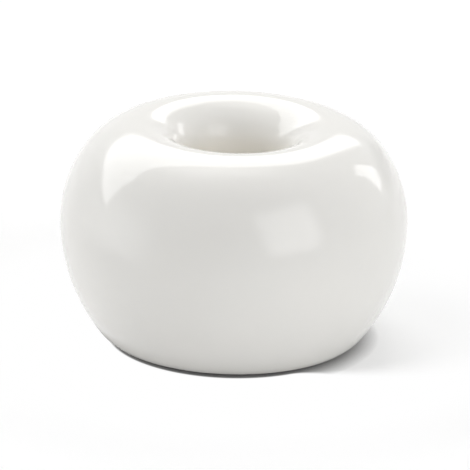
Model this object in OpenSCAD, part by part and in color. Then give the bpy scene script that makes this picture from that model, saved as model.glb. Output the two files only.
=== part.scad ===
// Single toothbrush holder: a squat, weighty glazed ceramic block with one round well in its crown.
// The origin is on the axis at counter level, and +Z runs up through the well.
// The outside is five arcs, each tangent to the next, turned about the axis.

/* [Body] */
// Diameter of the body at its widest
body_d = 50; // [49:0.5:56]
// Height of the widest line above the counter
waist_h = 17.65; // [16.6:0.05:18.6]
// Height of the crest of the rim above the counter
crest_h = 32; // [31:0.5:36]
// Diameter of the crest, the highest ring of the rim
crest_d = 27; // [25:0.5:28]
// Radius of the shoulder that rolls outwards from the crest
shoulder_r = 10; // [8:0.1:10.2]
// Outer diameter of the flat ring that the fired clay stands on
foot_d = 32; // [29:0.5:34]
// Radius that turns the side under to the foot
heel_r = 4.5; // [3:0.1:6]

/* [Well] */
// Diameter of the well that takes the brush handle
well_d = 15; // [12:0.5:18]
// Depth of the well below the crest
well_depth = 24; // [20:0.5:26]
// Radius between the wall of the well and its floor
well_corner_r = 2.5; // [1:0.5:4]

/* [Glaze] */
// Thickness of the fired glaze
glaze_t = 0.3; // [0.2:0.05:0.4]
// Share of the heel's turn, from the flat foot up, that is wiped bare of glaze
bare_share = 0.65; // [0.4:0.05:0.8]

/* [Grip pad] */
// Diameter of the soft disc under the base
pad_d = 25; // [20:0.5:26]
// Thickness of the soft disc
pad_t = 1; // [0.8:0.1:1.4]
// How far the soft disc stands out below the fired foot
pad_proud = 0.4; // [0.3:0.1:0.5]
// Thickness of the adhesive film between disc and clay
film_t = 0.2; // [0.1:0.05:0.3]
// How far the adhesive film stops short of the disc's edge
film_margin = 0.5; // [0:0.1:1]
// Gap between the edge of the disc and the wall of its recess
pad_gap = 0.3; // [0.2:0.1:0.5]
// Number of ring grooves in the disc's underside
groove_count = 3; // [1:1:4]
// Width of each ring groove
groove_w = 0.8; // [0.5:0.1:1]
// Depth of each ring groove
groove_depth = 0.35; // [0.2:0.05:0.5]

/* [Hidden] */
$fn = 128;

waist_r = body_d / 2;
crest_r = crest_d / 2;
well_r = well_d / 2;
lip_r = crest_r - well_r;
lip_z = crest_h - lip_r;
well_floor_z = crest_h - well_depth;
heel_z = pad_proud - glaze_t + heel_r;
shoulder_z = crest_h - shoulder_r;
recess_r = pad_d / 2 + pad_gap;
recess_top_z = pad_t + film_t;
film_r = pad_d / 2 - film_margin;
groove_step = pad_d / 2 / (groove_count + 1);

// Radius of the side arc that leaves the waist upright and meets an arc of radius r smoothly.
// The centre of the arc that it meets lies this far in from the waist, and this far above or below it.
function side_r(across, height, r) = (across ^ 2 + height ^ 2 - r ^ 2) / (2 * (across - r));

flank_r = side_r(waist_r - foot_d / 2, waist_h - heel_z, heel_r);
haunch_r = side_r(waist_r - crest_r, shoulder_z - waist_h, shoulder_r);
heel_end = atan2(heel_z - waist_h, foot_d / 2 - waist_r + flank_r);
haunch_end = atan2(shoulder_z - waist_h, crest_r - waist_r + haunch_r);
glaze_start = -90 + bare_share * (heel_end + 90);

// Each arc is its centre's distance from the axis, its centre's height, its radius,
// and the angles of its outward normal where it starts and ends, foot first.
heel = [foot_d / 2, heel_z, heel_r, -90, heel_end];
flank = [waist_r - flank_r, waist_h, flank_r, heel_end, 0];
haunch = [waist_r - haunch_r, waist_h, haunch_r, 0, haunch_end];
shoulder = [crest_r, shoulder_z, shoulder_r, haunch_end, 90];
lip = [crest_r, lip_z, lip_r, 90, 180];
glazed_heel = [heel[0], heel[1], heel[2], glaze_start, heel_end];
well_corner = [well_r - well_corner_r, well_floor_z + well_corner_r, well_corner_r];

// How far below the surface the arcs' wedges start, at the corners of one shared core
core_depth = 2;
// How far a wedge or a cut runs out past the surface
reach = 12;

// Point on an arc where its outward normal has this angle, or a depth below it
function on(arc, angle, depth = 0) =
    [arc[0] + (arc[2] - depth) * cos(angle), arc[1] + (arc[2] - depth) * sin(angle)];

// Disc of an arc, drawn in by a depth
module disc(arc, depth = 0) {
    translate([arc[0], arc[1]]) circle(arc[2] - depth);
}

// Solid behind an arc, between its two end normals, from the shared core out to the surface less a skin
module backed_arc(arc, skin = 0) {
    intersection() {
        disc(arc, skin);
        polygon([
            on(arc, arc[3], core_depth),
            on(arc, arc[3], -reach),
            on(arc, arc[4], -reach),
            on(arc, arc[4], core_depth)
        ]);
    }
}

// The quarter of the plane outwards of and below the centre of the well's corner
module below_corner() {
    translate([well_corner[0], well_corner[1] - reach]) square(reach);
}

// Half section of the well, made wider and deeper by the skin that will line it
module well_section(skin) {
    translate([0, well_corner[1]]) square([well_r + skin, lip_z - well_corner[1]]);
    translate([0, well_floor_z - skin]) square([well_corner[0], well_corner_r + skin]);
    intersection() {
        disc(well_corner, -skin);
        below_corner();
    }
}

// Half section of the fired clay, which is the outer surface less the glaze
module clay_section() {
    difference() {
        union() {
            polygon([
                [0, pad_proud],
                on(heel, -90, glaze_t),
                on(heel, -90, core_depth),
                on(heel, heel_end, core_depth),
                on(flank, 0, core_depth),
                on(haunch, haunch_end, core_depth),
                on(shoulder, 90, core_depth),
                on(lip, 180, core_depth),
                [0, lip_z]
            ]);
            for (arc = [heel, flank, haunch, shoulder, lip])
                backed_arc(arc, glaze_t);
        }
        well_section(glaze_t);
        translate([0, recess_top_z - reach]) square([recess_r, reach]);
    }
}

// Half section of the glaze: over the outside and the rim, then down the well and across its floor
module glaze_section() {
    for (arc = [glazed_heel, flank, haunch, shoulder, lip])
        difference() {
            backed_arc(arc);
            disc(arc, glaze_t);
        }
    translate([well_r, well_corner[1]]) square([glaze_t, lip_z - well_corner[1]]);
    intersection() {
        difference() {
            disc(well_corner, -glaze_t);
            disc(well_corner);
        }
        below_corner();
    }
    translate([0, well_floor_z - glaze_t]) square([well_corner[0], glaze_t]);
}

// Half section of the soft disc, with ring grooves in its underside
module pad_section() {
    difference() {
        square([pad_d / 2, pad_t]);
        for (i = [1:groove_count])
            translate([i * groove_step - groove_w / 2, groove_depth - reach]) square([groove_w, reach]);
    }
}

module porcelain_body() {
    color("linen") rotate_extrude() clay_section();
}

module glaze_coat() {
    color("white") rotate_extrude() glaze_section();
}

module adhesive_film() {
    color("burlywood") translate([0, 0, pad_t]) cylinder(r = film_r, h = film_t);
}

module grip_pad() {
    color("dimgray") rotate_extrude() pad_section();
}

porcelain_body();
glaze_coat();
adhesive_film();
grip_pad();
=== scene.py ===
import logging
import math
from dataclasses import dataclass
from enum import Enum
from typing import Any

import bmesh
import bpy
from mathutils import Matrix, Vector


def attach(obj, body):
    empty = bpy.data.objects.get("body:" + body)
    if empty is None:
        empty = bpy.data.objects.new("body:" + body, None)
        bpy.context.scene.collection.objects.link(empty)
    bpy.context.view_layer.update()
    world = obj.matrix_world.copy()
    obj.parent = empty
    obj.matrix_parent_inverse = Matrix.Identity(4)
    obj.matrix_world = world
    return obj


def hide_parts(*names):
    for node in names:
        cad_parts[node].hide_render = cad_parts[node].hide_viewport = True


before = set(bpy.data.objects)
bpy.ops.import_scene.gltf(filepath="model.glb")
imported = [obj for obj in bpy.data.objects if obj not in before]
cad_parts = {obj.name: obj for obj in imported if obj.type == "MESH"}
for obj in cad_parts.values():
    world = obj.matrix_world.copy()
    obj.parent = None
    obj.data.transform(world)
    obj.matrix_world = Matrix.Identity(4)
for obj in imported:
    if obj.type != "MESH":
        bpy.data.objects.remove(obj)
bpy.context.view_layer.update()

# Looks of a single ceramic toothbrush holder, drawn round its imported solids.
# Lengths are in metres and angles in radians, unless a name or docstring says otherwise.

log = logging.getLogger("holder")

Socket = bpy.types.NodeSocket
Feed = Any
Colour = tuple[float, float, float]
Span = tuple[float, float]


class Node(Enum):
    """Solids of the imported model."""

    CLAY = "porcelain_body"
    GLAZE = "glaze_coat"
    FILM = "adhesive_film"
    PAD = "grip_pad"


class Slot(Enum):
    """Material slots of the solids that new pieces stand for."""

    CLAY = "bare_porcelain"
    GLAZE = "white_glaze"
    PAD = "soft_pad"


class Inlet(Enum):
    """Kinds of socket on the outside of a shape tree."""

    SHAPE = "NodeSocketGeometry"
    SIZE = "NodeSocketFloat"
    COUNT = "NodeSocketInt"
    FINISH = "NodeSocketMaterial"


class Serves(Enum):
    """What a lamp is for: to light matt surfaces, or to be mirrored in glossy ones."""

    MATT = (True, False)
    GLOSS = (False, True)


class Wiring:
    """Adds nodes to one tree and links them."""

    def __init__(self, tree: bpy.types.NodeTree) -> None:
        """Takes the tree that the nodes go into."""
        self.tree = tree

    def add(self, kind: str, feeds: dict[Any, Feed] | None = None, **settings: Any) -> bpy.types.Node:
        """Adds a node.

        Args:
            kind: Blender's name for the node's type.
            feeds: A value or a socket for each input, by the input's name or place.
            settings: The node's own properties.

        Returns:
            The new node.
        """
        node = self.tree.nodes.new(kind)
        for name, value in settings.items():
            setattr(node, name, value)
        for key, value in (feeds or {}).items():
            self.feed(node.inputs[key], value)
        return node

    def feed(self, socket: Socket, value: Feed) -> None:
        """Links a socket to an input, or sets the input to a plain value.

        Args:
            socket: The input.
            value: Another node's output, or a plain value.
        """
        if isinstance(value, bpy.types.NodeSocket):
            self.tree.links.new(value, socket)
        else:
            socket.default_value = value

    def reckon(self, operation: str, *values: Feed) -> Socket:
        """Adds a Math node and returns its result."""
        return self.add("ShaderNodeMath", dict(enumerate(values)), operation=operation).outputs[0]

    def spread(self, value: Feed, low: float, high: float, to_low: float, to_high: float) -> Socket:
        """Eases a value from one range to another, and holds it at the ends.

        Args:
            value: What is mapped.
            low: Where the mapping starts.
            high: Where the mapping ends.
            to_low: Result at and below the start.
            to_high: Result at and above the end.

        Returns:
            The mapped value.
        """
        feeds = {"Value": value, "From Min": low, "From Max": high, "To Min": to_low, "To Max": to_high}
        node = self.add("ShaderNodeMapRange", feeds, interpolation_type="SMOOTHSTEP")
        return node.outputs["Result"]


class ShapeTree(Wiring):
    """A Geometry Nodes tree with named inputs."""

    def __init__(self, name: str) -> None:
        """Starts an empty tree with one shape coming out.

        Args:
            name: What the tree is called.
        """
        super().__init__(bpy.data.node_groups.new(name, "GeometryNodeTree"))
        self.tree.interface.new_socket(name="Shape", in_out="OUTPUT", socket_type=Inlet.SHAPE.value)
        self.inside = self.tree.nodes.new("NodeGroupInput")

    def inlet(self, name: str, kind: Inlet = Inlet.SIZE, value: Any = None) -> Socket:
        """Adds a named input.

        Args:
            name: What the input is called.
            kind: What it carries.
            value: What it holds until something is fed to it.

        Returns:
            The socket that carries it inside the tree.
        """
        socket = self.tree.interface.new_socket(name=name, in_out="INPUT", socket_type=kind.value)
        if value is not None:
            socket.default_value = value
        return self.inside.outputs[name]

    def size_inlets(self, sizes: dict[str, float]) -> dict[str, Socket]:
        """Adds an input for each named size, and returns their sockets by the same names."""
        return {name: self.inlet(name, value=value) for name, value in sizes.items()}

    def point(self, across: Feed, up: Feed) -> Socket:
        """Point of a half section: its distance from the axis and its height."""
        return self.add("ShaderNodeCombineXYZ", {"X": across, "Y": up}).outputs[0]

    def arc(self, across: Feed, up: Feed, radius: Feed, start: Feed, sweep: Feed, steps: Feed) -> Socket:
        """Adds an arc of a half section.

        Args:
            across: Distance of its centre from the axis.
            up: Height of its centre.
            radius: Its radius.
            start: Angle of its outward normal where it starts.
            sweep: Angle that it turns through.
            steps: Number of points on it.

        Returns:
            The arc as a curve.
        """
        feeds = {"Resolution": steps, "Radius": radius, "Start Angle": start, "Sweep Angle": sweep}
        curve = self.add("GeometryNodeCurveArc", feeds, mode="RADIUS")
        moved = {"Geometry": curve.outputs["Curve"], "Translation": self.point(across, up)}
        return self.add("GeometryNodeTransform", moved).outputs[0]

    def line(self, start: Socket, end: Socket, steps: Feed) -> Socket:
        """Adds a straight stretch of a half section.

        Args:
            start: Its first point.
            end: Its last point.
            steps: Number of points on it.

        Returns:
            The stretch as a curve.
        """
        curve = self.add("GeometryNodeCurvePrimitiveLine", {"Start": start, "End": end})
        feeds = {"Curve": curve.outputs[0], "Count": steps}
        return self.add("GeometryNodeResampleCurve", feeds, mode="COUNT").outputs[0]

    def chain(self, *shapes: Socket) -> Socket:
        """Joins shapes so that their points follow each other.

        Args:
            shapes: The shapes, first to last.

        Returns:
            All of them as one shape.
        """
        join = self.add("GeometryNodeJoinGeometry")
        for shape in reversed(shapes):
            self.tree.links.new(shape, join.inputs[0])
        return join.outputs[0]

    def points(self, curves: Socket) -> Socket:
        """Turns curves into the points that they run through."""
        return self.add("GeometryNodeCurveToPoints", {"Curve": curves}, mode="EVALUATED").outputs["Points"]

    def backwards(self, points: Socket) -> Socket:
        """Puts points in the opposite order.

        Args:
            points: The points as they come.

        Returns:
            The same points, last first.
        """
        index = self.add("GeometryNodeInputIndex").outputs[0]
        feeds = {"Geometry": points, "Sort Weight": self.reckon("MULTIPLY", index, -1.0)}
        return self.add("GeometryNodeSortElements", feeds, domain="POINT").outputs[0]

    def call(self, other: "ShapeTree", feeds: dict[str, Feed]) -> Socket:
        """Runs another tree inside this one, with its inputs fed by name, and returns its shape."""
        return self.add("GeometryNodeGroup", feeds, node_tree=other.tree).outputs[0]

    def close(self, shape: Socket) -> "ShapeTree":
        """Sends a shape out of the tree.

        Args:
            shape: What comes out.

        Returns:
            The tree.
        """
        end = self.tree.nodes.new("NodeGroupOutput")
        self.tree.links.new(shape, end.inputs[0])
        return self

    def finished(self, shape: Socket, finish: Socket) -> "ShapeTree":
        """Sends a shape out of the tree as real mesh with a finish on it.

        Args:
            shape: What comes out.
            finish: Its material.

        Returns:
            The tree.
        """
        real = self.add("GeometryNodeRealizeInstances", {"Geometry": shape}).outputs[0]
        dressed = self.add("GeometryNodeSetMaterial", {"Geometry": real, "Material": finish})
        return self.close(dressed.outputs[0])

    def make(self, name: str, sizes: dict[str, Any]) -> bpy.types.Object:
        """Runs the tree once and keeps what comes out as a plain mesh.

        Args:
            name: Name of the new piece.
            sizes: A value for each named input.

        Returns:
            The piece, at the origin, with its place in its mesh.
        """
        piece = bpy.data.objects.new(name, bpy.data.meshes.new(name))
        bpy.context.scene.collection.objects.link(piece)
        modifier = piece.modifiers.new("shape", "NODES")
        modifier.node_group = self.tree
        for item in self.tree.interface.items_tree:
            if item.in_out == "INPUT" and item.name in sizes:
                modifier[item.identifier] = sizes[item.name]
        graph = bpy.context.evaluated_depsgraph_get()
        made = bpy.data.meshes.new_from_object(piece.evaluated_get(graph), depsgraph=graph)
        piece.modifiers.remove(modifier)
        piece.data = made
        made.name = name
        self.face_outwards(made)
        return piece

    @staticmethod
    def face_outwards(mesh: bpy.types.Mesh) -> None:
        """Turns all faces of a closed mesh outwards.

        Args:
            mesh: The mesh, which is changed.

        Raises:
            ValueError: The mesh isn't closed.
        """
        work = bmesh.new()
        work.from_mesh(mesh)
        bmesh.ops.recalc_face_normals(work, faces=work.faces)
        if any(not edge.is_manifold for edge in work.edges):
            raise ValueError(f"{mesh.name} isn't closed")
        if work.calc_volume(signed=True) < 0:
            bmesh.ops.reverse_faces(work, faces=work.faces)
        work.to_mesh(mesh)
        work.free()


class TurnedSection(ShapeTree):
    """Turns the points of a half section about the upright axis, as on a wheel."""

    usual_columns: int = 192
    weld: float = 2e-7

    def __init__(self) -> None:
        """Wires the tree: a grid whose rows take the section's points, and whose columns go round."""
        super().__init__("Turned section")
        section = self.inlet("Section", Inlet.SHAPE)
        columns = self.inlet("Columns", Inlet.COUNT, self.usual_columns)
        size = self.add("GeometryNodeAttributeDomainSize", {"Geometry": section}, component="POINTCLOUD")
        rows = size.outputs["Point Count"]
        across = self.reckon("ADD", columns, 1.0)
        grid = self.add("GeometryNodeMeshGrid", {"Vertices X": across, "Vertices Y": rows})
        index = self.add("GeometryNodeInputIndex").outputs[0]
        row = self.add("FunctionNodeIntegerMath", {0: index, 1: rows}, operation="MODULO").outputs[0]
        column = self.add("FunctionNodeIntegerMath", {0: index, 1: rows}, operation="DIVIDE_FLOOR").outputs[0]
        position = self.add("GeometryNodeInputPosition").outputs[0]
        feeds = {"Geometry": section, "Value": position, "Index": row}
        found = self.add("GeometryNodeSampleIndex", feeds, data_type="FLOAT_VECTOR", domain="POINT")
        place = self.add("ShaderNodeSeparateXYZ", {0: found.outputs["Value"]})
        turn = self.reckon("MULTIPLY", self.reckon("DIVIDE", column, columns), 2 * math.pi)
        x = self.reckon("MULTIPLY", place.outputs["X"], self.reckon("COSINE", turn))
        y = self.reckon("MULTIPLY", place.outputs["X"], self.reckon("SINE", turn))
        target = self.add("ShaderNodeCombineXYZ", {"X": x, "Y": y, "Z": place.outputs["Y"]}).outputs[0]
        feeds = {"Geometry": grid.outputs["Mesh"], "Position": target}
        turned = self.add("GeometryNodeSetPosition", feeds).outputs[0]
        feeds = {"Geometry": turned, "Distance": self.weld}
        merged = self.add("GeometryNodeMergeByDistance", feeds).outputs[0]
        self.close(self.add("GeometryNodeSetShadeSmooth", {"Geometry": merged}).outputs[0])


@dataclass(frozen=True)
class HolderSizes:
    """Sizes of the block, in metres, as its solids have them."""

    waist_radius: float = 0.025
    waist_height: float = 0.01765
    crest_radius: float = 0.0135
    crest_height: float = 0.032
    shoulder_radius: float = 0.010
    foot_radius: float = 0.016
    heel_radius: float = 0.0045
    heel_height: float = 0.0046
    well_radius: float = 0.0075
    well_floor: float = 0.008
    corner_radius: float = 0.0025
    glaze_depth: float = 0.0003
    bare_share: float = 0.65
    recess_radius: float = 0.0128
    recess_height: float = 0.0012
    foot_height: float = 0.0004

    def named(self) -> dict[str, float]:
        """Sizes by the names that the trees' inputs have."""
        return {name.replace("_", " ").capitalize(): value for name, value in vars(self).items()}

    def heel_end(self) -> float:
        """Finds where the heel runs into the flank.

        Returns:
            Angle of the surface's normal there.
        """
        across = self.waist_radius - self.foot_radius
        height = self.waist_height - self.heel_height
        flank = (across**2 + height**2 - self.heel_radius**2) / (2 * (across - self.heel_radius))
        return math.atan2(-height, flank - across)

    def glaze_line(self) -> float:
        """Angle of the surface's normal at the edge of the glaze."""
        return -math.pi / 2 + self.bare_share * (self.heel_end() + math.pi / 2)


class HolderSection(ShapeTree):
    """Half section of the block's skin, from the heel over the rim and down to the well's floor."""

    heel_points: int = 10
    flank_points: int = 40
    haunch_points: int = 32
    shoulder_points: int = 32
    lip_points: int = 34
    wall_points: int = 16
    corner_points: int = 14
    floor_points: int = 10

    def __init__(self, sizes: HolderSizes) -> None:
        """Wires the tree: five arcs that touch smoothly, the well's wall, its corner and its floor.

        Args:
            sizes: What the tree's inputs hold until something is fed to them.
        """
        super().__init__("Holder section")
        inlets = self.size_inlets(sizes.named())
        waist, waist_up = inlets["Waist radius"], inlets["Waist height"]
        crest, crest_up = inlets["Crest radius"], inlets["Crest height"]
        foot, heel, heel_up = inlets["Foot radius"], inlets["Heel radius"], inlets["Heel height"]
        shoulder, well = inlets["Shoulder radius"], inlets["Well radius"]
        floor, corner = inlets["Well floor"], inlets["Corner radius"]
        depth = self.inlet("Depth", value=0.0)
        start = self.inlet("Heel start", value=-math.pi / 2)
        fineness = self.inlet("Fineness", value=1.0)

        def steps(count: int) -> Socket:
            """Number of points on a stretch, at the tree's fineness."""
            return self.reckon("ROUND", self.reckon("MULTIPLY", fineness, count))

        shoulder_up = self.reckon("SUBTRACT", crest_up, shoulder)
        lip = self.reckon("SUBTRACT", crest, well)
        lip_up = self.reckon("SUBTRACT", crest_up, lip)
        tuck = self.reckon("SUBTRACT", waist, foot)
        flank = self.side_radius(tuck, self.reckon("SUBTRACT", waist_up, heel_up), heel)
        reach = self.reckon("SUBTRACT", waist, crest)
        haunch = self.side_radius(reach, self.reckon("SUBTRACT", shoulder_up, waist_up), shoulder)
        flank_across = self.reckon("SUBTRACT", waist, flank)
        haunch_across = self.reckon("SUBTRACT", waist, haunch)
        heel_end = self.bearing(flank_across, waist_up, foot, heel_up)
        haunch_end = self.bearing(haunch_across, waist_up, crest, shoulder_up)
        wall = self.reckon("ADD", well, depth)
        corner_across = self.reckon("SUBTRACT", well, corner)
        corner_up = self.reckon("ADD", floor, corner)
        ground = self.reckon("SUBTRACT", floor, depth)
        bend = self.reckon("ADD", corner, depth)
        quarter = math.pi / 2

        def skin(across: Feed, up: Feed, radius: Socket, begin: Feed, end: Feed, count: int) -> Socket:
            """Arc of the outer skin, drawn in by the depth, between two angles."""
            inner = self.reckon("SUBTRACT", radius, depth)
            return self.arc(across, up, inner, begin, self.reckon("SUBTRACT", end, begin), steps(count))

        stretches = [
            skin(foot, heel_up, heel, start, heel_end, self.heel_points),
            skin(flank_across, waist_up, flank, heel_end, 0.0, self.flank_points),
            skin(haunch_across, waist_up, haunch, 0.0, haunch_end, self.haunch_points),
            skin(crest, shoulder_up, shoulder, haunch_end, quarter, self.shoulder_points),
            skin(crest, lip_up, lip, quarter, math.pi, self.lip_points),
            self.line(self.point(wall, lip_up), self.point(wall, corner_up), steps(self.wall_points)),
            self.arc(corner_across, corner_up, bend, 0.0, -quarter, steps(self.corner_points)),
            self.line(self.point(corner_across, ground), self.point(0.0, ground), steps(self.floor_points)),
        ]
        self.close(self.points(self.chain(*stretches)))

    def side_radius(self, across: Socket, height: Socket, radius: Socket) -> Socket:
        """Radius of the side arc that leaves the waist upright and meets another arc smoothly.

        Args:
            across: How far the other arc's centre lies in from the waist.
            height: How far it lies above or below the waist.
            radius: Radius of the other arc.

        Returns:
            The side arc's radius.
        """
        squares = self.reckon("ADD", self.reckon("POWER", across, 2.0), self.reckon("POWER", height, 2.0))
        top = self.reckon("SUBTRACT", squares, self.reckon("POWER", radius, 2.0))
        twice = self.reckon("MULTIPLY", self.reckon("SUBTRACT", across, radius), 2.0)
        return self.reckon("DIVIDE", top, twice)

    def bearing(self, from_across: Socket, from_up: Socket, to_across: Socket, to_up: Socket) -> Socket:
        """Angle of the line between two arcs' centres, which is the normal where they meet."""
        rise = self.reckon("SUBTRACT", to_up, from_up)
        return self.reckon("ARCTAN2", rise, self.reckon("SUBTRACT", to_across, from_across))


class Mottle:
    """Slow and fine unevenness of a surface, read from its own coordinates."""

    colour_inputs: tuple[int, int] = (6, 7)
    colour_output: int = 2

    def __init__(self, wires: Wiring) -> None:
        """Finds the surface's coordinates.

        Args:
            wires: Wiring of the material's tree.
        """
        self.wires = wires
        self.place = wires.add("ShaderNodeTexCoord").outputs["Object"]
        self.axes = wires.add("ShaderNodeSeparateXYZ", {0: self.place})

    def noise(self, size: float, detail: float, roughness: float = 0.5) -> Socket:
        """Soft noise, from 0 to 1, whose patches are about that size across."""
        feeds = {"Vector": self.place, "Scale": 1 / size, "Detail": detail, "Roughness": roughness}
        return self.wires.add("ShaderNodeTexNoise", feeds).outputs["Fac"]

    def height(self) -> Socket:
        """Height of the surface above the counter."""
        return self.axes.outputs["Z"]

    def radius(self) -> Socket:
        """Works out how far the surface is from the axis.

        Returns:
            The distance.
        """
        wires = self.wires
        x, y = self.axes.outputs["X"], self.axes.outputs["Y"]
        squares = wires.reckon("ADD", wires.reckon("POWER", x, 2.0), wires.reckon("POWER", y, 2.0))
        return wires.reckon("SQRT", squares)

    def blend(self, share: Feed, first: Feed, second: Feed) -> Socket:
        """Mixes two colours.

        Args:
            share: How much of the second is in the mix, from 0 to 1.
            first: A colour, or a socket that carries one.
            second: The same for the other colour.

        Returns:
            The mixed colour.
        """
        node = self.wires.add("ShaderNodeMix", {"Factor": share}, data_type="RGBA")
        for place, colour in zip(self.colour_inputs, (first, second)):
            carried = isinstance(colour, bpy.types.NodeSocket)
            self.wires.feed(node.inputs[place], colour if carried else (*colour, 1.0))
        return node.outputs[self.colour_output]

    def relief(self, height: Socket, rise: float, under: Socket | None = None) -> Socket:
        """Turns a height into a bump.

        Args:
            height: The height, from 0 to 1.
            rise: What a height of 1 comes to.
            under: Another bump that this one lies on.

        Returns:
            The surface's normal.
        """
        feeds: dict[Any, Feed] = {"Strength": 1.0, "Distance": rise, "Height": height}
        if under is not None:
            feeds["Normal"] = under
        return self.wires.add("ShaderNodeBump", feeds).outputs["Normal"]


class Finish:
    """A material made of nodes round one shader."""

    name: str = "finish"

    def material(self) -> bpy.types.Material:
        """Makes the material.

        Returns:
            The material.
        """
        made = bpy.data.materials.new(self.name)
        made.use_nodes = True
        wires = Wiring(made.node_tree)
        shader = made.node_tree.nodes["Principled BSDF"]
        self.wire(wires, Mottle(wires), shader)
        return made

    def wire(self, wires: Wiring, mottle: Mottle, shader: bpy.types.Node) -> None:
        """Connects the finish's nodes to the shader.

        Args:
            wires: Wiring of the material's tree.
            mottle: Unevenness that the nodes read.
            shader: The shader that they feed.
        """
        raise NotImplementedError


@dataclass(frozen=True)
class FiredGlaze(Finish):
    """Glossy warm white glaze, uneven by a hair, a little thinner where it turns over the rim.

    It thins over the last thin_band below the crest. Inside the well it has a lighter, warmer tone
    that is painted light; this fades out between the two depths of well_band below the crest, and
    over well_edge outwards from the well's wall.
    """

    name: str = "fired_glaze"
    tone: Colour = (0.85, 0.838, 0.806)
    pooled_tone: Colour = (0.842, 0.833, 0.802)
    thin_tone: Colour = (0.835, 0.82, 0.78)
    well_painted_light: Colour = (0.945, 0.92, 0.865)
    roughness: Span = (0.045, 0.085)
    refraction: float = 1.5
    patch: float = 0.011
    patch_range: Span = (0.3, 0.7)
    patch_rise: float = 2.2e-5
    peel: float = 0.0016
    peel_range: Span = (0.25, 0.75)
    peel_rise: float = 1.0e-6
    crest_height: float = 0.032
    thin_band: float = 0.0016
    thin_share: float = 0.6
    well_radius: float = 0.0075
    well_band: Span = (0.007, 0.002)
    well_edge: float = 0.003

    def wire(self, wires: Wiring, mottle: Mottle, shader: bpy.types.Node) -> None:
        """Tints, dulls and ripples the glaze a little from place to place, and paints light inside the well.

        Args:
            wires: Wiring of the material's tree.
            mottle: Unevenness that the nodes read.
            shader: The shader that they feed.
        """
        crest, wall = self.crest_height, self.well_radius
        deep, shallow = self.well_band
        slow = mottle.noise(self.patch, detail=2.0)
        fine = mottle.noise(self.peel, detail=3.0)
        body = mottle.blend(wires.spread(slow, *self.patch_range, 0.0, 1.0), self.tone, self.pooled_tone)
        drawn = wires.spread(mottle.height(), crest - self.thin_band, crest, 0.0, self.thin_share)
        outside = mottle.blend(drawn, body, self.thin_tone)
        # Painted light: inside the well the glaze gets a lighter, warmer tone.
        low = wires.spread(mottle.height(), crest - deep, crest - shallow, 1.0, 0.0)
        within = wires.spread(mottle.radius(), wall, wall + self.well_edge, 1.0, 0.0)
        inside = wires.reckon("MULTIPLY", low, within)
        wires.feed(shader.inputs["Base Color"], mottle.blend(inside, outside, self.well_painted_light))
        wires.feed(shader.inputs["Roughness"], wires.spread(fine, *self.peel_range, *self.roughness))
        ripple = mottle.relief(slow, self.patch_rise)
        wires.feed(shader.inputs["Normal"], mottle.relief(fine, self.peel_rise, ripple))
        shader.inputs["IOR"].default_value = self.refraction


@dataclass(frozen=True)
class BareClay(Finish):
    """Dry fired clay, with fine grain and the rings that trimming leaves.

    Its lowest ring is darker, most at the first of its two darkening heights and not at all from the second
    up.
    """

    name: str = "bare_clay"
    tone: Colour = (0.79, 0.755, 0.69)
    grey_tone: Colour = (0.66, 0.62, 0.55)
    roughness: Span = (0.82, 0.96)
    roughness_range: Span = (0.3, 0.7)
    gloss: float = 0.3
    grain: float = 0.00022
    grain_range: Span = (0.35, 0.75)
    grain_share: float = 0.8
    grain_rise: float = 2.5e-5
    patch: float = 0.006
    darker_heights: Span = (0.0004, 0.0011)
    darker_share: float = 0.35
    ring: float = 0.00035
    ring_rise: float = 4e-6

    def wire(self, wires: Wiring, mottle: Mottle, shader: bpy.types.Node) -> None:
        """Specks the clay, darkens its lowest ring a little and roughens it.

        Args:
            wires: Wiring of the material's tree.
            mottle: Unevenness that the nodes read.
            shader: The shader that they feed.
        """
        grain = mottle.noise(self.grain, detail=4.0, roughness=0.7)
        slow = mottle.noise(self.patch, detail=3.0)
        specks = wires.spread(grain, *self.grain_range, 0.0, self.grain_share)
        clay = mottle.blend(specks, self.tone, self.grey_tone)
        # The lowest ring is darker towards the bottom, in slow patches.
        low_ring = wires.spread(mottle.height(), *self.darker_heights, self.darker_share, 0.0)
        darkened = wires.reckon("MULTIPLY", low_ring, slow)
        wires.feed(shader.inputs["Base Color"], mottle.blend(darkened, clay, self.grey_tone))
        wires.feed(shader.inputs["Roughness"], wires.spread(grain, *self.roughness_range, *self.roughness))
        turns = wires.reckon("MULTIPLY", mottle.radius(), 2 * math.pi / self.ring)
        wave = wires.reckon("SINE", wires.reckon("ADD", turns, slow))
        rings = mottle.relief(wires.reckon("MULTIPLY_ADD", wave, 0.5, 0.5), self.ring_rise)
        wires.feed(shader.inputs["Normal"], mottle.relief(grain, self.grain_rise, rings))
        shader.inputs["Specular IOR Level"].default_value = self.gloss


@dataclass(frozen=True)
class BondingFilm(Finish):
    """Cloudy acrylic bonding film."""

    name: str = "bonding_film"
    tone: Colour = (0.80, 0.76, 0.66)
    cloudy_tone: Colour = (0.86, 0.83, 0.75)
    roughness: Span = (0.28, 0.5)
    cloud: float = 0.0012
    cloud_range: Span = (0.2, 0.8)
    cloud_rise: float = 1e-5

    def wire(self, wires: Wiring, mottle: Mottle, shader: bpy.types.Node) -> None:
        """Clouds the film and makes its gloss uneven.

        Args:
            wires: Wiring of the material's tree.
            mottle: Unevenness that the nodes read.
            shader: The shader that they feed.
        """
        cloud = mottle.noise(self.cloud, detail=4.0, roughness=0.6)
        wires.feed(shader.inputs["Base Color"], mottle.blend(cloud, self.tone, self.cloudy_tone))
        wires.feed(shader.inputs["Roughness"], wires.spread(cloud, *self.cloud_range, *self.roughness))
        wires.feed(shader.inputs["Normal"], mottle.relief(cloud, self.cloud_rise))


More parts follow.
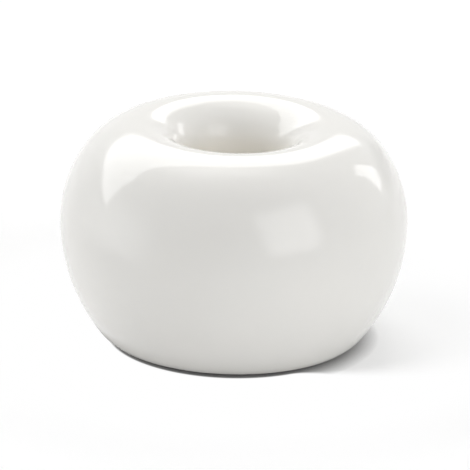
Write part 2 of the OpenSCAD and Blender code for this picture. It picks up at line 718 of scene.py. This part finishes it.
@dataclass(frozen=True)
class MouldedSilicone(Finish):
    """Soft dark grey silicone with the fine matt grain of its mould."""

    name: str = "moulded_silicone"
    tone: Colour = (0.085, 0.085, 0.088)
    dusty_tone: Colour = (0.16, 0.158, 0.152)
    roughness: Span = (0.55, 0.75)
    grain: float = 0.00018
    grain_range: Span = (0.3, 0.7)
    grain_rise: float = 1.2e-5
    dust: float = 0.0035
    dust_range: Span = (0.45, 0.75)
    dust_share: float = 0.7
    sheen: float = 0.12
    sheen_roughness: float = 0.5

    def wire(self, wires: Wiring, mottle: Mottle, shader: bpy.types.Node) -> None:
        """Grains the silicone and leaves a trace of dust on it.

        Args:
            wires: Wiring of the material's tree.
            mottle: Unevenness that the nodes read.
            shader: The shader that they feed.
        """
        grain = mottle.noise(self.grain, detail=3.0, roughness=0.6)
        dust = mottle.noise(self.dust, detail=5.0, roughness=0.65)
        share = wires.spread(dust, *self.dust_range, 0.0, self.dust_share)
        wires.feed(shader.inputs["Base Color"], mottle.blend(share, self.tone, self.dusty_tone))
        wires.feed(shader.inputs["Roughness"], wires.spread(grain, *self.grain_range, *self.roughness))
        wires.feed(shader.inputs["Normal"], mottle.relief(grain, self.grain_rise))
        shader.inputs["Sheen Weight"].default_value = self.sheen
        shader.inputs["Sheen Roughness"].default_value = self.sheen_roughness


@dataclass
class GlazedBlock:
    """The fired block: its clay, and the glaze over the outside, the rim and the inside of the well.

    The glaze is drawn in by a hair, the inset, so that it stays within its faceted solid. Fineness
    is the share of a section's usual points that a skin has. The glaze's edge wanders up or down by
    line_wander, and this dies out over wander_height above it.
    """

    sizes: HolderSizes
    columns: int = 192
    clay_columns: int = 144
    inner_fineness: float = 0.45
    clay_fineness: float = 0.6
    inset: float = 0.00001
    bead_points: int = 9
    line_wander: float = 0.00007
    wander_waves: float = 3.0
    wander_height: float = 0.0012
    arris: float = 0.00015
    arris_points: int = 5
    recess_points: int = 6

    def build(self, wheel: TurnedSection) -> list[bpy.types.Object]:
        """Makes both pieces and puts them on the frame.

        Args:
            wheel: Tree that turns a section about the axis.

        Returns:
            The glaze and the clay.
        """
        section = HolderSection(self.sizes)
        glaze = self.glaze_tree(section, wheel).make("glaze_skin", self.glaze_sizes())
        clay = self.clay_tree(section, wheel).make("clay_block", self.clay_sizes())
        for piece, node, slot in ((glaze, Node.GLAZE, Slot.GLAZE), (clay, Node.CLAY, Slot.CLAY)):
            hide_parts(node.value)
            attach(piece, "root")
        return [glaze, clay]

    def glaze_sizes(self) -> dict[str, Any]:
        """Gathers the inputs of the glaze's tree.

        Returns:
            A value for each input's name.
        """
        sizes = self.sizes
        finish = FiredGlaze(crest_height=sizes.crest_height, well_radius=sizes.well_radius)
        return {
            **sizes.named(),
            "Glaze line": sizes.glaze_line(),
            "Inset": self.inset,
            "Line wander": self.line_wander,
            "Columns": self.columns,
            "Finish": finish.material(),
        }

    def clay_sizes(self) -> dict[str, Any]:
        """Gathers the inputs of the clay's tree.

        Returns:
            A value for each input's name.
        """
        return {
            **self.sizes.named(),
            "Arris": self.arris,
            "Columns": self.clay_columns,
            "Finish": BareClay().material(),
        }

    def glaze_tree(self, section: HolderSection, wheel: TurnedSection) -> ShapeTree:
        """Wires the glaze: the inner skin out of the well and down to the heel, then the outer one back.

        Args:
            section: Tree of the block's half section.
            wheel: Tree that turns a section about the axis.

        Returns:
            The glaze's tree.
        """
        tree = ShapeTree("Glaze skin")
        inlets = tree.size_inlets(self.sizes.named())
        line = tree.inlet("Glaze line", value=self.sizes.glaze_line())
        wander = tree.inlet("Line wander", value=self.line_wander)
        columns = tree.inlet("Columns", Inlet.COUNT, self.columns)
        finish = tree.inlet("Finish", Inlet.FINISH)
        inset = tree.inlet("Inset", value=self.inset)
        depth = inlets["Glaze depth"]
        outside = {**inlets, "Depth": inset, "Heel start": line, "Fineness": 1.0}
        inside = {**inlets, "Depth": depth, "Heel start": line, "Fineness": self.inner_fineness}
        outer, inner = tree.call(section, outside), tree.call(section, inside)
        half = tree.reckon("MULTIPLY", depth, 0.5)
        middle = tree.reckon("SUBTRACT", inlets["Heel radius"], half)
        across = tree.reckon("MULTIPLY_ADD", middle, tree.reckon("COSINE", line), inlets["Foot radius"])
        up = tree.reckon("MULTIPLY_ADD", middle, tree.reckon("SINE", line), inlets["Heel height"])
        start = tree.reckon("SUBTRACT", line, math.pi)
        bead = tree.points(tree.arc(across, up, half, start, math.pi, self.bead_points))
        around = tree.chain(tree.backwards(inner), bead, outer)
        turned = tree.call(wheel, {"Section": around, "Columns": columns})
        return tree.finished(self.wander(tree, turned, line, wander, up), finish)

    def wander(self, tree: ShapeTree, shape: Socket, line: Socket, amount: Socket, up: Socket) -> Socket:
        """Lets the lowest edge of the glaze wander along the heel, as a dipped and wiped edge does.

        Args:
            tree: The tree that this goes into.
            shape: The turned glaze.
            line: Angle of the heel's normal at the edge.
            amount: How far the edge strays, up or down.
            up: Height of the edge.

        Returns:
            The glaze with its edge moved.
        """
        place = tree.add("GeometryNodeInputPosition").outputs[0]
        axes = tree.add("ShaderNodeSeparateXYZ", {0: place})
        flat = tree.add("ShaderNodeCombineXYZ", {"X": axes.outputs["X"], "Y": axes.outputs["Y"]}).outputs[0]
        way = tree.add("ShaderNodeVectorMath", {0: flat}, operation="NORMALIZE").outputs[0]
        feeds = {"Vector": way, "Scale": self.wander_waves, "Detail": 3.0}
        noise = tree.add("ShaderNodeTexNoise", feeds).outputs["Fac"]
        above = tree.reckon("SUBTRACT", axes.outputs["Z"], up)
        near = tree.spread(above, 0.0, self.wander_height, 1.0, 0.0)
        stray = tree.reckon("MULTIPLY", tree.reckon("MULTIPLY_ADD", noise, 2.0, -1.0), amount)
        shift = tree.reckon("MULTIPLY", stray, near)
        outwards = tree.reckon("MULTIPLY", shift, tree.reckon("MULTIPLY", tree.reckon("SINE", line), -1.0))
        upwards = tree.reckon("MULTIPLY", shift, tree.reckon("COSINE", line))
        level = tree.add("ShaderNodeVectorMath", {0: way, "Scale": outwards}, operation="SCALE").outputs[0]
        rise = tree.add("ShaderNodeCombineXYZ", {"Z": upwards}).outputs[0]
        offset = tree.add("ShaderNodeVectorMath", {0: level, 1: rise}, operation="ADD").outputs[0]
        return tree.add("GeometryNodeSetPosition", {"Geometry": shape, "Offset": offset}).outputs[0]

    def clay_tree(self, section: HolderSection, wheel: TurnedSection) -> ShapeTree:
        """Wires the clay: the skin under the glaze, the foot ring and the recess inside it.

        Args:
            section: Tree of the block's half section.
            wheel: Tree that turns a section about the axis.

        Returns:
            The clay's tree.
        """
        tree = ShapeTree("Clay block")
        inlets = tree.size_inlets(self.sizes.named())
        arris = tree.inlet("Arris", value=self.arris)
        columns = tree.inlet("Columns", Inlet.COUNT, self.clay_columns)
        finish = tree.inlet("Finish", Inlet.FINISH)
        quarter = math.pi / 2
        feeds = {"Depth": inlets["Glaze depth"], "Heel start": -quarter, "Fineness": self.clay_fineness}
        skin = tree.call(section, {**inlets, **feeds})
        recess, top, foot = inlets["Recess radius"], inlets["Recess height"], inlets["Foot height"]
        within = tree.reckon("SUBTRACT", recess, arris)
        outside = tree.reckon("ADD", recess, arris)
        below, above = tree.reckon("SUBTRACT", top, arris), tree.reckon("ADD", foot, arris)
        steps = [
            tree.line(tree.point(0.0, top), tree.point(within, top), self.recess_points),
            tree.arc(within, below, arris, quarter, -quarter, self.arris_points),
            tree.arc(outside, above, arris, math.pi, quarter, self.arris_points),
        ]
        around = tree.chain(tree.points(tree.chain(*steps)), skin)
        return tree.finished(tree.call(wheel, {"Section": around, "Columns": columns}), finish)


@dataclass
class GripDisc:
    """The soft disc under the base, and the film that bonds it to the clay."""

    radius: float = 0.0125
    thickness: float = 0.001
    grooves: int = 3
    groove_width: float = 0.0008
    groove_depth: float = 0.00035
    groove_corners: int = 4
    edge: float = 0.00012
    edge_points: int = 4
    columns: int = 160

    def build(self, wheel: TurnedSection) -> list[bpy.types.Object]:
        """Makes the disc and puts it on the frame, and finishes the film.

        Args:
            wheel: Tree that turns a section about the axis.

        Returns:
            The disc and the film.
        """
        sizes = {
            "Radius": self.radius,
            "Thickness": self.thickness,
            "Grooves": self.grooves,
            "Groove width": self.groove_width,
            "Groove depth": self.groove_depth,
            "Edge": self.edge,
            "Columns": self.columns,
            "Finish": MouldedSilicone().material(),
        }
        disc = self.tree(wheel).make("grip_disc", sizes)
        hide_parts(Node.PAD.value)
        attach(disc, "root")
        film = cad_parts[Node.FILM.value]
        film.material_slots[0].material = BondingFilm().material()
        return [disc, film]

    def tree(self, wheel: TurnedSection) -> ShapeTree:
        """Wires the disc: four corners for each groove, then the rim and the top, all rounded.

        Args:
            wheel: Tree that turns a section about the axis.

        Returns:
            The disc's tree.
        """
        tree = ShapeTree("Grip disc")
        radius = tree.inlet("Radius", value=self.radius)
        thickness = tree.inlet("Thickness", value=self.thickness)
        grooves = tree.inlet("Grooves", Inlet.COUNT, self.grooves)
        width = tree.inlet("Groove width", value=self.groove_width)
        depth = tree.inlet("Groove depth", value=self.groove_depth)
        edge = tree.inlet("Edge", value=self.edge)
        columns = tree.inlet("Columns", Inlet.COUNT, self.columns)
        finish = tree.inlet("Finish", Inlet.FINISH)
        each = self.groove_corners
        halfway = (each - 1) / 2
        index = tree.add("GeometryNodeInputIndex").outputs[0]
        groove = tree.add("FunctionNodeIntegerMath", {0: index, 1: each}, operation="DIVIDE_FLOOR").outputs[0]
        corner = tree.add("FunctionNodeIntegerMath", {0: index, 1: each}, operation="MODULO").outputs[0]
        pitch = tree.reckon("DIVIDE", radius, tree.reckon("ADD", grooves, 1.0))
        middle = tree.reckon("MULTIPLY", tree.reckon("ADD", groove, 1.0), pitch)
        side = tree.reckon("SUBTRACT", tree.reckon("GREATER_THAN", corner, halfway), 0.5)
        across = tree.reckon("MULTIPLY_ADD", side, width, middle)
        off_middle = tree.reckon("ABSOLUTE", tree.reckon("SUBTRACT", corner, halfway))
        up = tree.reckon("MULTIPLY", tree.reckon("LESS_THAN", off_middle, 1.0), depth)
        feeds = {"Count": tree.reckon("MULTIPLY", grooves, each), "Position": tree.point(across, up)}
        corners = tree.add("GeometryNodePoints", feeds).outputs[0]
        rim = [
            tree.add("GeometryNodePoints", {"Count": 1, "Position": tree.point(*place)}).outputs[0]
            for place in ((0.0, 0.0), (radius, 0.0), (radius, thickness), (0.0, thickness))
        ]
        outline = tree.add("GeometryNodePointsToCurves", {"Points": tree.chain(rim[0], corners, *rim[1:])})
        feeds = {"Curve": outline.outputs[0], "Count": self.edge_points, "Radius": edge, "Limit Radius": True}
        rounded = tree.add("GeometryNodeFilletCurve", feeds, mode="POLY").outputs[0]
        turned = tree.call(wheel, {"Section": tree.points(rounded), "Columns": columns})
        return tree.finished(turned, finish)


def blank_material(name: str) -> tuple[bpy.types.Material, Wiring]:
    """Makes a material with no nodes in it yet.

    Args:
        name: The material's name.

    Returns:
        The material, and the wiring that fills it.
    """
    made = bpy.data.materials.new(name)
    made.use_nodes = True
    made.node_tree.nodes.clear()
    return made, Wiring(made.node_tree)


def set_piece(name: str, work: bmesh.types.BMesh) -> bpy.types.Object:
    """Turns worked mesh into a piece of the set.

    Args:
        name: The piece's name.
        work: The worked mesh, which is used up.

    Returns:
        The piece, in the scene.
    """
    mesh = bpy.data.meshes.new(name)
    work.to_mesh(mesh)
    work.free()
    piece = bpy.data.objects.new(name, mesh)
    bpy.context.scene.collection.objects.link(piece)
    return piece


@dataclass(frozen=True)
class SoftBox:
    """A rectangular studio lamp whose light fades towards each edge, over a share of its size."""

    name: str
    centre: tuple[float, float, float]
    facing: tuple[float, float, float]
    width: float
    height: float
    brightness: float
    fade: float
    serves: Serves
    lean_degrees: float = 0.0

    def place(self) -> None:
        """Hangs the lamp and turns it to face its way, upright but for its lean."""
        lamp = bpy.data.lights.new(self.name, "AREA")
        lamp.shape = "RECTANGLE"
        lamp.size, lamp.size_y = self.width, self.height
        lamp.energy = math.pi * self.brightness * self.width * self.height
        self.soften(lamp)
        stand = bpy.data.objects.new(self.name, lamp)
        bpy.context.scene.collection.objects.link(stand)
        turned = (-Vector(self.facing)).to_track_quat("Z", "Y").to_matrix().to_4x4()
        lean = Matrix.Rotation(math.radians(self.lean_degrees), 4, "Z")
        stand.matrix_world = Matrix.Translation(self.centre) @ turned @ lean
        stand.visible_camera = False
        stand.visible_diffuse, stand.visible_glossy = self.serves.value

    def soften(self, lamp: bpy.types.Light) -> None:
        """Fades the lamp's cloth towards its four edges.

        Args:
            lamp: The lamp's data.
        """
        lamp.use_nodes = True
        wires = Wiring(lamp.node_tree)
        across = wires.add("ShaderNodeNewGeometry").outputs["Parametric"]
        sides = wires.add("ShaderNodeSeparateXYZ", {0: across})
        level: Feed = 1.0
        for side in ("X", "Y"):
            off_middle = wires.reckon("ABSOLUTE", wires.reckon("SUBTRACT", sides.outputs[side], 0.5))
            level = wires.reckon("MULTIPLY", level, wires.spread(off_middle, 0.5 - self.fade, 0.5, 1.0, 0.0))
        wires.feed(lamp.node_tree.nodes["Emission"].inputs["Strength"], level)


@dataclass(frozen=True)
class GreyCard:
    """An upright grey card that shows only as a reflection, and sets the right shoulder off from white.

    The card faces the axis and fades towards its edges: across is half its width and half the width
    of its even part, and up is the same for its height.
    """

    name: str
    centre: tuple[float, float, float] = (0.294, 0.405, 0.085)
    across: Span = (0.17, 0.06)
    up: Span = (0.09, 0.03)
    grey: float = 0.55

    def place(self) -> None:
        """Stands the card behind the holder, hidden from all but mirrored rays."""
        work = bmesh.new()
        bmesh.ops.create_grid(work, x_segments=1, y_segments=1, size=1.0)
        card = set_piece(self.name, work)
        facing = -Vector((*self.centre[:2], 0.0)).normalized()
        turned = facing.to_track_quat("Z", "Y").to_matrix().to_4x4()
        size = Matrix.Diagonal((self.across[0], self.up[0], 1.0, 1.0))
        card.data.transform(Matrix.Translation(self.centre) @ turned @ size)
        card.data.materials.append(self.finish(facing.cross(Vector((0.0, 0.0, 1.0)))))
        card.visible_camera = False
        card.visible_diffuse = False
        card.visible_transmission = False
        card.visible_shadow = False

    def finish(self, side: Vector) -> bpy.types.Material:
        """Makes the card's material, an even grey that clears towards the edges.

        Args:
            side: Level direction along the card.

        Returns:
            The material.
        """
        made, wires = blank_material(self.name)
        place = wires.add("ShaderNodeTexCoord").outputs["Object"]
        along = wires.add("ShaderNodeVectorMath", {0: place, 1: side}, operation="DOT_PRODUCT")
        height = wires.add("ShaderNodeSeparateXYZ", {0: place}).outputs["Z"]
        off_side = wires.reckon("ABSOLUTE", along.outputs["Value"])
        off_height = wires.reckon("ABSOLUTE", wires.reckon("SUBTRACT", height, self.centre[2]))
        even = wires.spread(off_side, self.across[1], self.across[0], 1.0, 0.0)
        even = wires.reckon("MULTIPLY", even, wires.spread(off_height, self.up[1], self.up[0], 1.0, 0.0))
        grey = wires.add("ShaderNodeEmission", {"Color": (1.0, 1.0, 1.0, 1.0), "Strength": self.grey})
        clear = wires.add("ShaderNodeBsdfTransparent").outputs[0]
        card = wires.add("ShaderNodeMixShader", {0: even, 1: clear, 2: grey.outputs[0]}).outputs[0]
        wires.add("ShaderNodeOutputMaterial", {"Surface": card})
        return made


@dataclass
class Studio:
    """Plain pale floor, soft lamps, a grey card, an even world and the camera.

    Next to the holder the floor is mostly matt, and it is white past the shade; that white is painted
    light that covers the shadow there. The shade reaches out from the foot by the second of shade_reach
    towards shade_turn_degrees, to the right and behind, and by the first on the other side. Between the
    two distances of open_floor from the axis, the floor's tone goes from the first of floor_seen to the
    second, so it is painted a little darker near the holder, and its share of plain white drops to
    far_white. The nook is painted shade: where the holder meets the floor, ambient occlusion darkens the
    floor's colour and its white.
    """

    floor_radius: float = 2.5
    floor_sides: int = 96
    foot_radius: float = 0.0174
    floor_tone: Colour = (0.93, 0.93, 0.93)
    floor_seen: Span = (0.92, 1.0)
    open_floor: Span = (0.035, 0.06)
    far_white: float = 0.25
    nook: float = 0.0026
    nook_depth: float = 0.7
    nook_samples: int = 8
    least_white: float = 0.38
    mirrored_reach: float = 0.0035
    shade_turn_degrees: float = 40.0
    shade_sides: Span = (-0.2, 1.0)
    shade_reach: Span = (0.0007, 0.032)
    least_radius: float = 0.001
    world_level: float = 0.572
    world_lean: tuple[float, float, float] = (0.12, 0.08, -0.072)
    viewpoint: float = 0.9836
    elevation_degrees: float = 19.89
    roll_degrees: float = 1.31
    target: tuple[float, float, float] = (0.0002, 0.0, 0.0152)
    lens: float = 523.6
    sensor: float = 36.0
    clip: Span = (0.05, 20.0)

    def lamps(self) -> list[SoftBox]:
        """Lists the lamps, placed for the glaze's matt light and for what mirrors in it.

        Returns:
            The lamps, not yet hung.
        """
        return [
            SoftBox(
                "back_panel", (-0.505, 0.486, 0.713), (0.318, -0.948, 0.0),
                width=1.95, height=0.86, brightness=2.6, fade=0.09, serves=Serves.GLOSS,
            ),
            SoftBox(
                "overhead_glow", (-0.1, 0.29, 0.85), (0.1, -0.29, -0.85),
                width=0.95, height=0.75, brightness=1.3, fade=0.45, serves=Serves.GLOSS,
            ),
            SoftBox(
                "rim_box", (0.668, 0.527, 0.335), (-0.668, -0.527, -0.335),
                width=0.21, height=0.42, brightness=2.3, fade=0.1, serves=Serves.GLOSS, lean_degrees=8.0,
            ),
            SoftBox(
                "crown_box", (0.0, 0.44, 0.90), (0.0, -0.44, -0.90),
                width=0.9, height=0.7, brightness=4.6, fade=0.35, serves=Serves.MATT,
            ),
            SoftBox(
                "key_box", (-0.86, 0.2, 0.46), (0.86, -0.2, -0.46),
                width=0.7, height=0.65, brightness=4.4, fade=0.35, serves=Serves.MATT,
            ),
            SoftBox(
                "fill_box", (0.60, -0.60, 0.34), (-0.60, 0.60, -0.34),
                width=0.9, height=0.9, brightness=2.15, fade=0.45, serves=Serves.MATT,
            ),
            SoftBox(
                "front_glow", (0.54, -0.66, 0.36), (-0.54, 0.66, -0.36),
                width=0.85, height=0.9, brightness=1.9, fade=0.25, serves=Serves.GLOSS, lean_degrees=4.0,
            ),
            SoftBox(
                "side_glow", (-0.082, -0.03, 0.026), (1.0, 0.0, 0.0),
                width=0.13, height=0.09, brightness=1.35, fade=0.5, serves=Serves.GLOSS,
            ),
        ]

    def build(self) -> None:
        """Sets up floor, world, lamps, card and camera."""
        self.floor()
        self.world()
        for lamp in self.lamps():
            lamp.place()
        GreyCard("grey_card").place()
        self.camera()

    def floor(self) -> None:
        """Lays a round floor that keeps the holder's shadow and shows white further out."""
        work = bmesh.new()
        bmesh.ops.create_circle(work, cap_ends=True, segments=self.floor_sides, radius=self.floor_radius)
        floor = set_piece("floor", work)
        floor.data.materials.append(self.floor_finish())

    def floor_finish(self) -> bpy.types.Material:
        """Makes the floor's material: matt shading in the holder's shade, mixed with white past it.

        Returns:
            The material.
        """
        made, wires = blank_material("pale_floor")
        mottle = Mottle(wires)
        seen = self.showing(wires)
        # Painted shade: ambient occlusion darkens the floor's colour and its white where the holder meets it.
        feeds = {"Distance": self.nook}
        hollow = wires.add("ShaderNodeAmbientOcclusion", feeds, samples=self.nook_samples).outputs["AO"]
        nook = wires.reckon("POWER", hollow, self.nook_depth)
        # Painted shade: the floor's tone is a little darker near the holder.
        far_off = wires.spread(mottle.radius(), *self.open_floor, 0.0, 1.0)
        plain = mottle.blend(far_off, *((level,) * 3 for level in self.floor_seen))
        shaded = mottle.blend(nook, (0.0, 0.0, 0.0), plain)
        matt = wires.add("ShaderNodeBsdfDiffuse", {"Color": mottle.blend(seen, self.floor_tone, shaded)})
        # Painted light: past the shade's reach the floor glows white and covers the shadow there.
        out = self.past_shade(wires, mottle)
        bright = wires.reckon("MAXIMUM", out, nook)
        white = wires.add("ShaderNodeEmission", {"Color": bright, "Strength": 1.0}).outputs[0]
        share = wires.reckon("MAXIMUM", out, self.least_white)
        share = wires.reckon("MULTIPLY", share, wires.spread(far_off, 0.0, 1.0, 1.0, self.far_white))
        away = wires.reckon("MULTIPLY", share, seen)
        top = wires.add("ShaderNodeMixShader", {0: away, 1: matt.outputs[0], 2: white}).outputs[0]
        clear = wires.add("ShaderNodeBsdfTransparent").outputs[0]
        below = wires.add("ShaderNodeNewGeometry").outputs["Backfacing"]
        both = wires.add("ShaderNodeMixShader", {0: below, 1: top, 2: clear}).outputs[0]
        wires.add("ShaderNodeOutputMaterial", {"Surface": both})
        return made

    def past_shade(self, wires: Wiring, mottle: Mottle) -> Socket:
        """Tells how far out of the holder's shade a place on the floor is.

        Args:
            wires: Wiring of the floor's material.
            mottle: Coordinates of the floor.

        Returns:
            0 at the foot, rising to 1 where the shade ends.
        """
        turn = math.radians(self.shade_turn_degrees)
        along = wires.reckon("MULTIPLY", mottle.axes.outputs["X"], math.cos(turn))
        along = wires.reckon("MULTIPLY_ADD", mottle.axes.outputs["Y"], math.sin(turn), along)
        side = wires.reckon("DIVIDE", along, wires.reckon("MAXIMUM", mottle.radius(), self.least_radius))
        reach = wires.spread(side, *self.shade_sides, *self.shade_reach)
        mirrored = wires.add("ShaderNodeLightPath").outputs["Is Glossy Ray"]
        reach = wires.reckon("MULTIPLY_ADD", mirrored, self.mirrored_reach, reach)
        beyond = wires.reckon("SUBTRACT", mottle.radius(), self.foot_radius)
        return wires.spread(wires.reckon("DIVIDE", beyond, reach), 0.0, 1.0, 0.0, 1.0)

    @staticmethod
    def showing(wires: Wiring) -> Socket:
        """Tells whether a ray shows the background: seen straight on, mirrored or through glass.

        Args:
            wires: Wiring of the tree that asks.

        Returns:
            1 where it does, else 0.
        """
        path = wires.add("ShaderNodeLightPath").outputs
        mirrored = wires.reckon("MAXIMUM", path["Is Glossy Ray"], path["Is Transmission Ray"])
        return wires.reckon("MAXIMUM", path["Is Camera Ray"], mirrored)

    def world(self) -> None:
        """Fills the surroundings with soft light, a little stronger from the right, behind and low down."""
        world = bpy.data.worlds.new("surroundings")
        world.use_nodes = True
        world.node_tree.nodes.clear()
        wires = Wiring(world.node_tree)
        way = wires.add("ShaderNodeTexCoord").outputs["Generated"]
        lean = wires.add("ShaderNodeVectorMath", {0: way, 1: self.world_lean}, operation="DOT_PRODUCT")
        lit = wires.reckon("ADD", lean.outputs["Value"], self.world_level)
        level = wires.reckon("MAXIMUM", self.showing(wires), lit)
        light = wires.add("ShaderNodeBackground", {"Color": (1.0, 1.0, 1.0, 1.0), "Strength": level})
        wires.add("ShaderNodeOutputWorld", {"Surface": light.outputs[0]})
        bpy.context.scene.world = world

    def camera(self) -> None:
        """Stands the camera at the photograph's angle and distance, with a longer lens."""
        lens = bpy.data.cameras.new("camera")
        lens.sensor_width = self.sensor
        lens.lens = self.lens
        lens.clip_start, lens.clip_end = self.clip
        stand = bpy.data.objects.new("camera", lens)
        bpy.context.scene.collection.objects.link(stand)
        lift = math.radians(self.elevation_degrees)
        back = Vector((0, -math.cos(lift), math.sin(lift)))
        facing = back.to_track_quat("Z", "Y").to_matrix().to_4x4()
        roll = Matrix.Rotation(math.radians(self.roll_degrees), 4, "Z")
        stand.matrix_world = Matrix.Translation(Vector(self.target) + back * self.viewpoint) @ facing @ roll
        bpy.context.scene.camera = stand
        bpy.context.scene.view_settings.view_transform = "Standard"


def main() -> None:
    """Builds the holder and its studio."""
    logging.basicConfig(level=logging.INFO, format="%(name)s: %(message)s")
    wheel = TurnedSection()
    pieces = [*GlazedBlock(HolderSizes()).build(wheel), *GripDisc().build(wheel)]
    for piece in pieces:
        piece.data.calc_loop_triangles()
        log.info("%s has %d triangles", piece.name, len(piece.data.loop_triangles))
    Studio().build()


if __name__ == "__main__":
    main()
